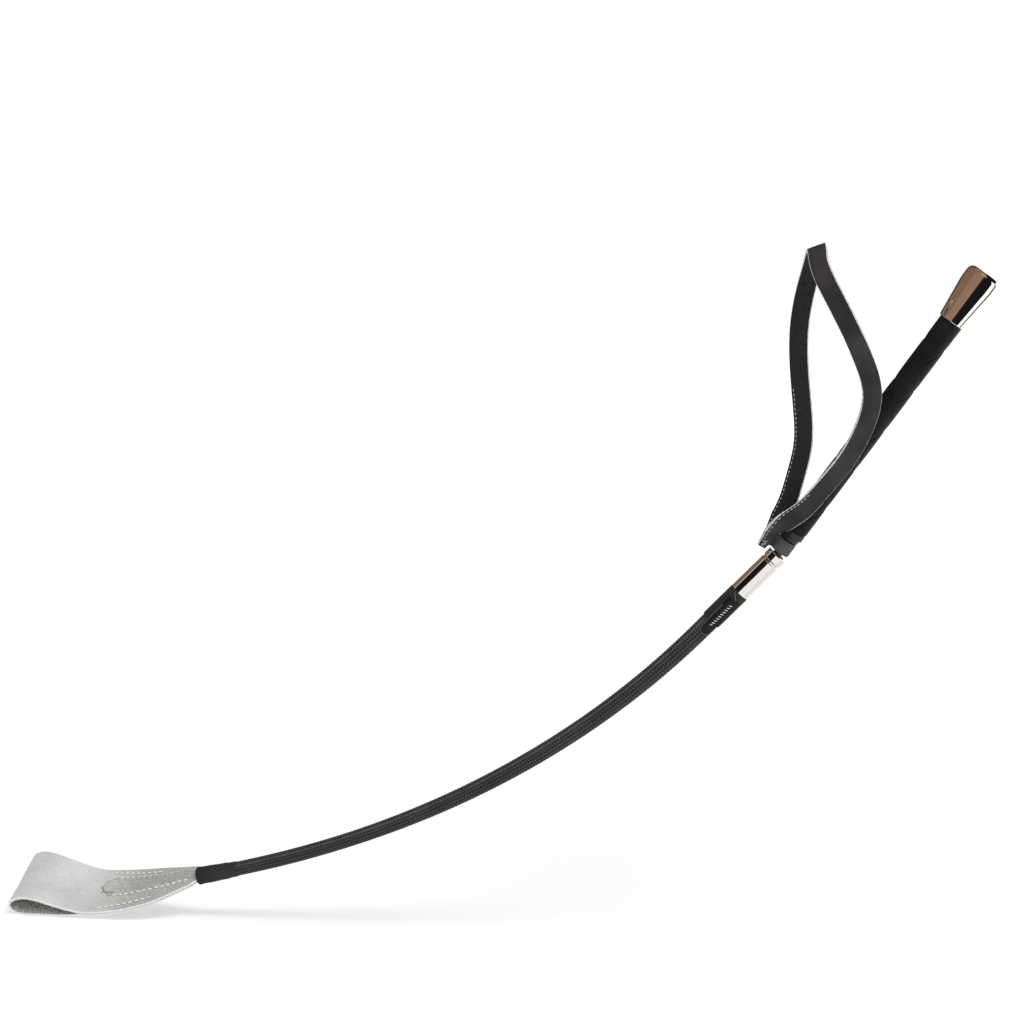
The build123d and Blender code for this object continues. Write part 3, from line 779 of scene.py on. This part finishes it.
tip_place, _ = shaft_at(TIP)
HINGE = 53.0
seam_stops = [(-18, -4.1), (0, 0), (15, 4.9), (30, 8.9), (45, 11.4), (HINGE, 12.0), (57, 12.1)]
seam_dense = natural_curve(seam_stops, 600)
LEATHER = 1.0
POCKET_RISE = 0.95
POCKET_HALF = 5.2
POCKET_END = 50.6
half_widths = [(-6, 2.9), (-1, 3.6), (0.3, 4.4), (2.5, 6.0), (5, 6.9), (15, 10.0), (30, 13.0),
               (45, 14.2), (64, 15.0), (94, 16.3)]
width_dense = natural_curve(half_widths, 500)


def seam_drop(out):
    return np.interp(out, seam_dense[:, 0], seam_dense[:, 1])


def half_width(out):
    return np.interp(out, width_dense[:, 0], width_dense[:, 1])


POCKET_ROW = 5.7
ROUND_END = POCKET_END - POCKET_ROW


def pocket_middle(out):
    """The pocket lies a little to the far side of the keeper."""
    return 0.9 + 1.3 * np.clip((out - 4) / 20, 0, 1)


def pocket_row(out):
    """Distance of the pocket's stitches from its middle: it narrows towards the shaft."""
    return 2.9 + (POCKET_ROW - 2.9) * np.clip((out - 4) / 34, 0, 1)


def pocket_distance(out, across):
    """Distance from the pocket's middle, where its stitches are at POCKET_ROW all round."""
    past = np.maximum(out - ROUND_END, 0)
    return np.hypot(past, across - pocket_middle(out)) * POCKET_ROW / pocket_row(out)


EDGE_ROW_START = 22.5
EDGE_ROW_END = 46.5


def edge_row(out):
    return 8.6 + 3.2 * (out - EDGE_ROW_START) / (EDGE_ROW_END - EDGE_ROW_START)


def face_relief(out, across):
    """Height over a flat layer: the pocket's bulge, and the lines the stitches pull in."""
    d = pocket_distance(out, across)
    bulge = POCKET_RISE * smooth((POCKET_HALF + 0.15 - d) / 0.9) * smooth((out + 3) / 5)
    row = -0.18 * np.exp(-(((d - POCKET_ROW) / 0.4) ** 2)) * smooth((53 - out) / 1.0)
    beside = np.exp(-(((np.abs(across) - edge_row(out)) / 0.35) ** 2))
    ends = smooth((out - 21) / 1.5) * smooth((48 - out) / 1.5)
    waves = 0.05 * np.sin(out / 3.1 + across / 5) * np.sin(across / 3.7 - out / 9)
    return bulge + row - 0.14 * beside * ends + waves


def face_shade_and_tone(out, across):
    """How far the silver is darkened: painted shadow just inside the pocket's rounded end, darker
    along the stitch lines for the needle holes and painted shade in their grooves, a darker tone in
    the pocket and towards the shaft end, and none by the fold.
    """
    d = pocket_distance(out, across)
    inside = smooth((POCKET_HALF + 0.3 - d) / 0.8)
    # painted shadow: a dark crescent just inside the pocket's rounded end, where the pocket steps up
    pocket_end_shadow = np.exp(-(((d - POCKET_HALF + 0.5) / 0.5) ** 2)) * smooth((out - 40) / 6)
    # darker along the pocket's and the edge's stitch lines: the needle holes, and painted shade in the
    # grooves the stitches pull in
    row = np.exp(-(((d - POCKET_ROW) / 0.3) ** 2))
    beside = np.exp(-(((np.abs(across) - edge_row(out)) / 0.3) ** 2))
    ends = smooth((out - 21) / 1.5) * smooth((48 - out) / 1.5)
    # darker towards the shaft end
    towards_shaft = 0.55 * smooth((56 - out) / 26)
    return np.clip(towards_shaft + 0.2 * inside + 0.8 * pocket_end_shadow
                   + 0.65 * (row + beside * ends), 0, 1) * smooth((56 - out) / 4)


loop_outside = [(60, 10.1), (65, 9.0), (70, 7.75), (75, 6.4), (80, 5.25), (85, 4.9),
                (88.5, 5.7), (91, 7.3), (91.8, 9.2), (91, 11.2), (88, 13.1), (80, 13.9),
                (62, 13.8)]
stitched = [-5, 0, 6, 12, 18, 24, 30, 36, 42, 48, 53]
outer_stops = ([(o, float(seam_drop(o)) - LEATHER) for o in stitched] + loop_outside
               + [(o, float(seam_drop(o)) + LEATHER) for o in stitched[::-1]])
outer = natural_curve(outer_stops, 430)
tangent = np.gradient(outer, axis=0)
tangent /= np.linalg.norm(tangent, axis=1)[:, None]
inward = np.stack([-tangent[:, 1], tangent[:, 0]], 1)
inner = outer + inward * LEATHER * 0.93
lip = 0.30
fractions = np.linspace(-1, 1, 93)
rounding = np.array([0.0, 0.25, 0.5, 0.75, 0.93])


def columns_of(half):
    """Places across the leather, with extra ones where its edge is rounded."""
    inside = (half - lip) * fractions
    left = -half + lip * (1 - np.cos(rounding * PI / 2)) * 1.0
    right = -left[::-1]
    return np.concatenate([left, inside, right])


def lowered(across, half):
    """How far the rounded edge lies below the leather's face."""
    over = np.clip((np.abs(across) - (half - lip)) / lip, 0, 1)
    return 0.32 * (1 - np.sqrt(1 - over**2))


profile_lengths = np.concatenate([[0], np.cumsum(np.linalg.norm(np.diff(outer, axis=0), axis=1))])
keeper_rows = []
shade_rows = []
for k in range(len(outer)):
    half = float(half_width(outer[k, 0]))
    across = columns_of(half)
    out = np.full_like(across, outer[k, 0])
    joined = 1 - smooth((outer[k, 0] - 49.0) / 4.0)
    raised = face_relief(out, across) * joined - lowered(across, half)
    ripple = 0.10 * np.sin(across / 4.3 + profile_lengths[k] / 17) * (1 - joined)
    outside = outer[k][None, :] - inward[k][None, :] * (raised + ripple)[:, None]
    inside = inner[k][None, :] - inward[k][None, :] * (ripple - lowered(across, half))[:, None]
    ring_od = np.concatenate([outside, inside[::-1]])
    ring_across = np.concatenate([across, across[::-1]])
    keeper_rows.append(np.array(tip_place)[None, :]
                       + np.stack([-ring_od[:, 0], 0 * ring_across, -ring_od[:, 1]], 1) * MM
                       + ring_across[:, None] * np.array(roll)[None, :] * MM)
    shade_rows.append(np.concatenate([face_shade_and_tone(out, across), 0 * across]))
keeper_points = np.array(keeper_rows)
n_across = len(columns_of(10.0))
index = np.zeros(2 * n_across, int)
index[n_across:] = 1
edge = 2
for first in (0, n_across):
    index[first:first + edge] = 2
    index[first + n_across - 1 - edge:first + n_across] = 2
keeper = grid_object("keeper_folded_strip", keeper_points,
                     [silver.material, suede.material, cut_edge.material], profile_lengths,
                     np.arange(2 * n_across + 1) * 0.3, wrap=True, caps=True, index=index)
# painted shadow, painted shade and a darker tone for the silver's colour, one value per vertex
point_values(keeper, "painted_shade_and_tone", shade_rows)


def keeper_place(out, drop, across=0.0):
    return tip_place + (Vector((-out, 0, -drop)) + roll * across) * MM


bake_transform(keeper)
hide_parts("keeper_upper", "keeper_lower", "keeper_loop")


def keeper_face(out, across, face, lift=0.0):
    """A point on the stitched part's face: face is +1 on top, -1 underneath."""
    height = LEATHER + float(face_relief(np.array(out), np.array(across)))
    return keeper_place(out, float(seam_drop(out)) - face * (height + lift), across)


def face_normal(out, across, face):
    along = keeper_face(out + 0.4, across, face) - keeper_face(out - 0.4, across, face)
    over = keeper_face(out, across + 0.4, face) - keeper_face(out, across - 0.4, face)
    normal = along.cross(over).normalized()
    return normal if normal.z * face > 0 else -normal


def keeper_stitch(out_a, across_a, out_b, across_b, face):
    a = keeper_face(out_a, across_a, face, 0.12)
    b = keeper_face(out_b, across_b, face, 0.12)
    normal = face_normal((out_a + out_b) / 2, (across_a + across_b) / 2, face)
    return a, b, normal, 0.00085, 0.0006


pocket_stitches = []
edge_stitches = []
for face in (1, -1):
    for row_side in (1, -1):
        for k in range(13):
            ends_of = [(out, float(pocket_middle(out) + row_side * pocket_row(out)))
                       for out in (6 + 3 * k - 0.95, 6 + 3 * k + 0.95)]
            (oa, ca), (ob, cb) = ends_of
            pocket_stitches.append(keeper_stitch(oa, ca, ob, cb, face))
    for degrees in (-64, -22, 22, 64):
        ends_of = []
        for step in (-9.5, 9.5):
            g = math.radians(degrees + step)
            ends_of.append((ROUND_END + POCKET_ROW * math.cos(g),
                            float(pocket_middle(ROUND_END)) + POCKET_ROW * math.sin(g)))
        (oa, ca), (ob, cb) = ends_of
        pocket_stitches.append(keeper_stitch(oa, ca, ob, cb, face))
    for side in (1, -1):
        for k in range(9):
            out = EDGE_ROW_START + 3 * k
            edge_stitches.append(keeper_stitch(out - 0.95, side * float(edge_row(out - 0.95)),
                                               out + 0.95, side * float(edge_row(out + 0.95)),
                                               face))
placed(stitches_object("keeper_pocket_threads", pocket_stitches, white_thread.material),
       "shaft_8", ["keeper_pocket_stitching"])
placed(stitches_object("keeper_edge_threads", edge_stitches, white_thread.material),
       "shaft_8", ["keeper_edge_stitching"])

# ---- wrist strap --------------------------------------------------------------------------

near_leg = [(1.4, 7.8, -2.2), (3.8, 7.8, -2.7), (6.5, 7.9, -3.7), (10, 8.0, -5.8),
            (14, 7.0, -7.2), (23.5, 3.4, -7.5), (38, 1.5, -8.5), (54, 0.8, -10.5),
            (69.5, 2.9, -13.5), (84, 8.8, -17), (94, 20.3, -20), (102.5, 34.8, -21),
            (109, 48, -18), (115, 59, -11)]
apex = [(119.5, 64.7, 0)]
far_leg = [(113, 62.8, 11), (101, 58.4, 18), (87, 51.6, 21), (71, 39.9, 20),
           (58, 28.4, 17), (46, 19.2, 13), (34, 13.9, 10), (22, 9.8, 8.2), (14, 8.4, 7.2),
           (10, 8.0, 5.8), (6.5, 7.9, 3.7), (3.8, 7.8, 2.7), (1.4, 7.8, 2.2)]
STRAP_T = 1.9
STRAP_W = 8.4
width_hint = Vector((math.cos(math.radians(20)), 0, math.sin(math.radians(20))))
strap_line = natural_curve([list(on_handle(*p) / MM) for p in near_leg + apex + far_leg], 900)
strap_tangent = np.gradient(strap_line, axis=0)
strap_tangent /= np.linalg.norm(strap_tangent, axis=1)[:, None]
strap_along = np.concatenate([[0], np.cumsum(np.linalg.norm(np.diff(strap_line, axis=0), axis=1))])
strap_length = strap_along[-1]
hint = np.array(width_hint)
strap_across = hint[None, :] - strap_tangent * (strap_tangent @ hint)[:, None]
strap_across /= np.linalg.norm(strap_across, axis=1)[:, None]
strap_inward = np.cross(strap_tangent, strap_across)
lean = np.radians(-11 * smooth((strap_along - 22) / 15) * smooth((104 - strap_along) / 16)
                  + 14 * smooth((strap_along - 100) / 16)
                  * smooth((158 - strap_along) / 10))[:, None]
strap_across, strap_inward = (strap_across * np.cos(lean) - strap_inward * np.sin(lean),
                              strap_inward * np.cos(lean) + strap_across * np.sin(lean))


def strap_width(distance):
    from_end = np.minimum(distance, strap_length - distance)
    return np.minimum(STRAP_W, 3.8 + 0.32 * from_end)


corner = 0.45
corner_angles = np.linspace(0, PI / 2, 6)
strap_rows = []
for k in range(len(strap_line)):
    half = float(strap_width(strap_along[k])) / 2
    flat = np.linspace(-(half - corner), half - corner, 25)
    crown = 0.10 * (1 - (flat / half) ** 2)
    wave = 0.07 * math.sin(strap_along[k] / 6.5) * np.cos(flat / 2.2)
    outside = [(x, -(STRAP_T / 2 - 0.08 + c)) for x, c in zip(flat, crown + wave)]
    right = [(half - corner + corner * math.sin(g), -(STRAP_T / 2 - 0.1) + corner * (1 - math.cos(g)))
             for g in corner_angles[1:]]
    inside_edge = [(half - 0.02, STRAP_T / 2 - 0.25)]
    inside = [(x, STRAP_T / 2 - 0.06) for x in flat[::-1] * 1.02]
    left = [(-x, y) for x, y in (right + inside_edge)[::-1]]
    ring = outside + right + inside_edge + inside + left
    strap_rows.append([strap_line[k] + strap_across[k] * x + strap_inward[k] * y for x, y in ring])
strap_points = np.array(strap_rows) * MM
ring_count = strap_points.shape[1]
strap_index = np.zeros(ring_count, int)
side_first = 25 + 1
side_last = 25 + len(corner_angles) - 1
strap_index[side_first:side_last + 1] = 2
strap_index[side_last + 1:side_last + 26] = 1
strap_index[side_last + 26:side_last + 26 + 5] = 2
strap = grid_object("wrist_strap_band", strap_points,
                    [strap_leather.material, flesh.material, strap_edge.material],
                    strap_along, np.arange(ring_count + 1) * 0.35, wrap=True, caps=True,
                    index=strap_index)
placed(strap, "wrist_strap", ["wrist_strap"])


def strap_place(distance, across, outward):
    """A point beside the strap's middle line; outward is away from the wrist."""
    at = [np.interp(distance, strap_along, strap_line[:, i]) for i in range(3)]
    x = [np.interp(distance, strap_along, strap_across[:, i]) for i in range(3)]
    y = [np.interp(distance, strap_along, strap_inward[:, i]) for i in range(3)]
    place = np.array(at) + np.array(x) * across - np.array(y) * outward
    return Vector(place) * MM, -Vector(y)


def strap_stitch(distance_a, across_a, distance_b, across_b, face=1.0):
    outward = face * (STRAP_T / 2 + 0.06)
    a, up = strap_place(distance_a, across_a, outward)
    b, _ = strap_place(distance_b, across_b, outward)
    return a, b, up * face, 0.00042, 0.0003


strap_stitches = []
for face in (1.0, -1.0):
    for k in range(34):
        d = 3.0 + 2.1 * k
        edge_at = float(strap_width(np.array(d))) / 2 - 1.0
        strap_stitches.append(strap_stitch(strap_length - d, -edge_at, strap_length - d - 1.3,
                                           -edge_at, face))
    for k in range(15):
        d = 3.0 + 2.1 * k
        edge_at = float(strap_width(np.array(d))) / 2 - 1.0
        strap_stitches.append(strap_stitch(d, -edge_at, d + 1.3, -edge_at, face))
for base in (0.5, strap_length - 4.1):
    for k in range(4):
        d = base + 0.9 * k
        sign = 1 if k % 2 else -1
        strap_stitches.append(strap_stitch(d, -0.9 * sign, d + 0.9, 0.9 * sign))
placed(stitches_object("wrist_strap_threads", strap_stitches, strap_thread.material),
       "wrist_strap", ["strap_stitching"])

# The collar: a leather band round the neck whose end laps over itself, with a slit tab.
COLLAR_START = 3.6
COLLAR_END = 9.6
collar_angles = around(96)
lap = smooth((collar_angles + 1.1) / 0.12) * smooth((2.2 - collar_angles) / 0.12)
collar_outline = ([(2.12, 3.95)] + arc(2.45, 4.05, 0.33, 180, 270, 4)
                  + arc(3.85, 4.35, 0.5, 270, 360, 6) + [(4.35, 6.6)]
                  + arc(3.85, 9.6, 0.5, 0, 90, 6) + arc(2.45, 9.77, 0.33, 90, 180, 4))
collar_radii = np.array([[r + (0.5 * lap[j] if r > 2.8 else 0.0) for j in range(96)]
                         for r, _ in collar_outline])
collar_points = tube_points(lambda s: handle_at(s), [s for _, s in collar_outline],
                            collar_angles, collar_radii)
collar = grid_object("collar_band", collar_points, [collar_leather.material],
                     np.array([s for _, s in collar_outline]), np.append(collar_angles, PI) * 3.5)
placed(collar, "strap_collar", ["strap_collar"])


def flat_piece(name, corners, hole, thickness, bevel, material):
    """A flat piece of leather in the crop's plane, cut to an outline and softly edged."""
    curve = bpy.data.curves.new(name + "_outline", "CURVE")
    curve.dimensions = "2D"
    curve.fill_mode = "BOTH"
    curve.extrude = (thickness / 2 - bevel) * MM
    curve.bevel_depth = bevel * MM
    curve.bevel_resolution = 2
    for corner_list in (corners, hole):
        if not corner_list:
            continue
        spline = curve.splines.new("POLY")
        spline.points.add(len(corner_list) - 1)
        for point, (a, out) in zip(spline.points, corner_list):
            point.co = (a * MM, out * MM, 0, 1)
        spline.use_cyclic_u = True
    holder = bpy.data.objects.new(name + "_curve", curve)
    bpy.context.scene.collection.objects.link(holder)
    holder.matrix_world = Matrix((
        (*[up_handle.x, out_left.x, -SIDE.x], neck.x),
        (*[up_handle.y, out_left.y, -SIDE.y], neck.y),
        (*[up_handle.z, out_left.z, -SIDE.z], neck.z), (0, 0, 0, 1)))
    bpy.context.view_layer.update()
    graph = bpy.context.evaluated_depsgraph_get()
    mesh = bpy.data.meshes.new_from_object(holder.evaluated_get(graph))
    mesh.transform(holder.matrix_world)
    bpy.data.objects.remove(holder)
    mesh.materials.clear()
    mesh.materials.append(material)
    obj = bpy.data.objects.new(name, mesh)
    bpy.context.scene.collection.objects.link(obj)
    return obj


tab = [(4.5, 3.2), (9.9, 3.2), (10.1, 5.4), (8.4, 9.3), (7.7, 9.7), (3.9, 10.05), (3.5, 9.95),
       (1.85, 8.1), (1.85, 7.7), (3.6, 5.4)]
slit = [(4.7, 4.5), (8.0, 4.5), (8.0, 5.0), (4.7, 5.0)]
tab_piece = flat_piece("collar_tab", tab, slit, 1.7, 0.25, collar_leather.material)
placed(tab_piece, "strap_collar", [])

# ---- what stays as the CAD made it --------------------------------------------------------

finishes = {"rod": glass_fibre, "padding": padding, "cap_bush": ring_plastic,
            "ferrule_bush": ring_plastic, "handle_core": core_plastic}
for node_name, node in frame["nodes"].items():
    for start, finish in finishes.items():
        if node_name.startswith(start):
            node.data.materials.clear()
            node.data.materials.append(finish.material)

# ---- floor, light and camera --------------------------------------------------------------


def emitter(name, colour, strength):
    material = bpy.data.materials.new(name)
    material.use_nodes = True
    tree = material.node_tree
    tree.nodes.clear()
    glow = tree.nodes.new("ShaderNodeEmission")
    glow.inputs["Color"].default_value = (*colour, 1)
    glow.inputs["Strength"].default_value = strength
    result = tree.nodes.new("ShaderNodeOutputMaterial")
    tree.links.new(glow.outputs[0], result.inputs["Surface"])
    return material


def seen_by(obj, camera, diffuse, glossy, shadow):
    obj.visible_camera = camera
    obj.visible_diffuse = diffuse
    obj.visible_glossy = glossy
    obj.visible_transmission = False
    obj.visible_volume_scatter = False
    obj.visible_shadow = shadow


low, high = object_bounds()
floor_z = low.z - 0.0001

floor_finish = Finish("floor_paper", (0.93, 0.93, 0.93), 0.9, specular=0.1)
floor_finish.link("Base Color", floor_finish.blend_colours(
    floor_finish.spread(floor_finish.noise(6.0, 3.0), 0.3, 0.7), (0.92, 0.92, 0.925),
    (0.94, 0.94, 0.94)))
floor_finish.set("Emission Color", (1, 1, 1, 1))
reach = floor_finish.add("ShaderNodeVectorMath", {0: floor_finish.place}, operation="LENGTH")
floor_finish.link("Emission Strength", floor_finish.spread(reach.outputs["Value"], 0.35, 1.6,
                                                           0.26, 0.72))
size = 6.0
floor = new_object("floor_sheet", [(-size, -size, floor_z), (size, -size, floor_z),
                                   (size, size, floor_z), (-size, size, floor_z)],
                   [(0, 1, 2, 3)], [floor_finish.material])
floor.visible_glossy = False

angles = around(48)
heights = np.radians(np.linspace(-89, 89, 24))
dome_points = np.array([[[5.5 * math.cos(h) * math.cos(a), 5.5 * math.cos(h) * math.sin(a),
                          5.5 * math.sin(h)] for a in angles] for h in heights])
dome = grid_object("backdrop_dome", dome_points, [emitter("backdrop_white", (1, 1, 1), 1.0)],
                   np.arange(24.0), np.arange(49.0))
seen_by(dome, True, False, False, False)

# Cards that only show in the polished metal: arcs about the handle's line.


def card(name, low_end, high_end, first, last, colour, strength, radius=0.2):
    """A card bent round the handle's line: 0 is the front, positive angles to the left."""
    turn = np.radians(np.linspace(first, last, 24))
    points = np.array([[list(neck + up_handle * z + (-SIDE * math.cos(a)
                                                    + out_left * math.sin(a)) * radius)
                        for a in turn] for z in (low_end, high_end)])
    obj = grid_object(name, points, [emitter(name + "_glow", colour, strength)],
                      np.arange(2.0), np.arange(24.0), wrap=False)
    seen_by(obj, False, False, True, False)


DARK = (0.01, 0.01, 0.012)
WARM = (0.30, 0.18, 0.12)
WHITE = (1.0, 1.0, 0.99)
cap_cards = [("right_edge", -185, -93, WHITE, 1.25), ("line", -93, -82, DARK, 1.0),
             ("right", -82, -57, WHITE, 1.25), ("dark", -57, 6, DARK, 1.0),
             ("warm", 6, 62, WARM, 1.1), ("warm_back", 62, 130, WARM, 0.8),
             ("warm_edge", 130, 175, WARM, 0.35)]
for part, first, last, colour, strength in cap_cards:
    card("card_cap_" + part, 0.03, 0.34, first, last, colour, strength)
ferrule_cards = [("right_edge", -185, -110, WHITE, 1.0), ("grey", -110, -62, WHITE, 0.88),
                 ("right", -62, 9, WHITE, 1.02), ("dark", 9, 74, DARK, 1.0),
                 ("line", 74, 84, WHITE, 0.6), ("warm", 84, 175, WARM, 0.8)]
for part, first, last, colour, strength in ferrule_cards:
    card("card_ferrule_" + part, -0.22, 0.03, first, last, colour, strength)


def lid(name, first, last, colour, strength):
    """A card over the cap's closed end: part of a ring, between two angles."""
    turn = np.radians(np.linspace(first, last, 24))
    points = np.array([[list(neck + up_handle * 0.34 + (-SIDE * math.cos(a)
                                                       + out_left * math.sin(a)) * r)
                        for a in turn] for r in (0.001, 0.2)])
    obj = grid_object(name, points, [emitter(name + "_glow", colour, strength)],
                      np.arange(2.0), np.arange(24.0), wrap=False)
    seen_by(obj, False, False, True, False)


lid("card_lid_warm", -15, 175, WARM, 0.9)
lid("card_lid_dark", -185, -15, DARK, 1.0)

world = bpy.data.worlds.new("studio")
world.use_nodes = True
world.node_tree.nodes["Background"].inputs["Color"].default_value = (1, 1, 1, 1)
world.node_tree.nodes["Background"].inputs["Strength"].default_value = 0.50
bpy.context.scene.world = world


def softbox(name, place, target, width, power):
    light = bpy.data.lights.new(name, "AREA")
    light.shape = "SQUARE"
    light.size = width
    light.energy = power
    obj = bpy.data.objects.new(name, light)
    bpy.context.scene.collection.objects.link(obj)
    obj.location = place
    obj.rotation_euler = (Vector(target) - Vector(place)).to_track_quat("-Z", "Y").to_euler()
    return obj


middle = (low + high) / 2
softbox("key_softbox", middle + Vector((0.7, -0.5, 1.3)), middle, 0.55, 11)
softbox("front_softbox", middle + Vector((-0.2, -1.7, 0.5)), middle, 1.2, 3)

view_target = Vector((-0.1606, 0.0, -0.0444))
AZIMUTH = math.radians(12)
ELEVATION = math.radians(8)
back = Vector((math.sin(AZIMUTH) * math.cos(ELEVATION), -math.cos(AZIMUTH) * math.cos(ELEVATION),
               math.sin(ELEVATION)))
camera_data = bpy.data.cameras.new("camera")
camera_data.sensor_width = 36
camera_data.lens = 70.4
camera = bpy.data.objects.new("camera", camera_data)
bpy.context.scene.collection.objects.link(camera)
camera.location = view_target + back * 0.9
camera.rotation_mode = "QUATERNION"
camera.rotation_quaternion = (-back).to_track_quat("-Z", "Y")
camera_data.clip_start = 0.01
camera_data.clip_end = 30
bpy.context.scene.camera = camera
bpy.context.scene.view_settings.view_transform = "Standard"
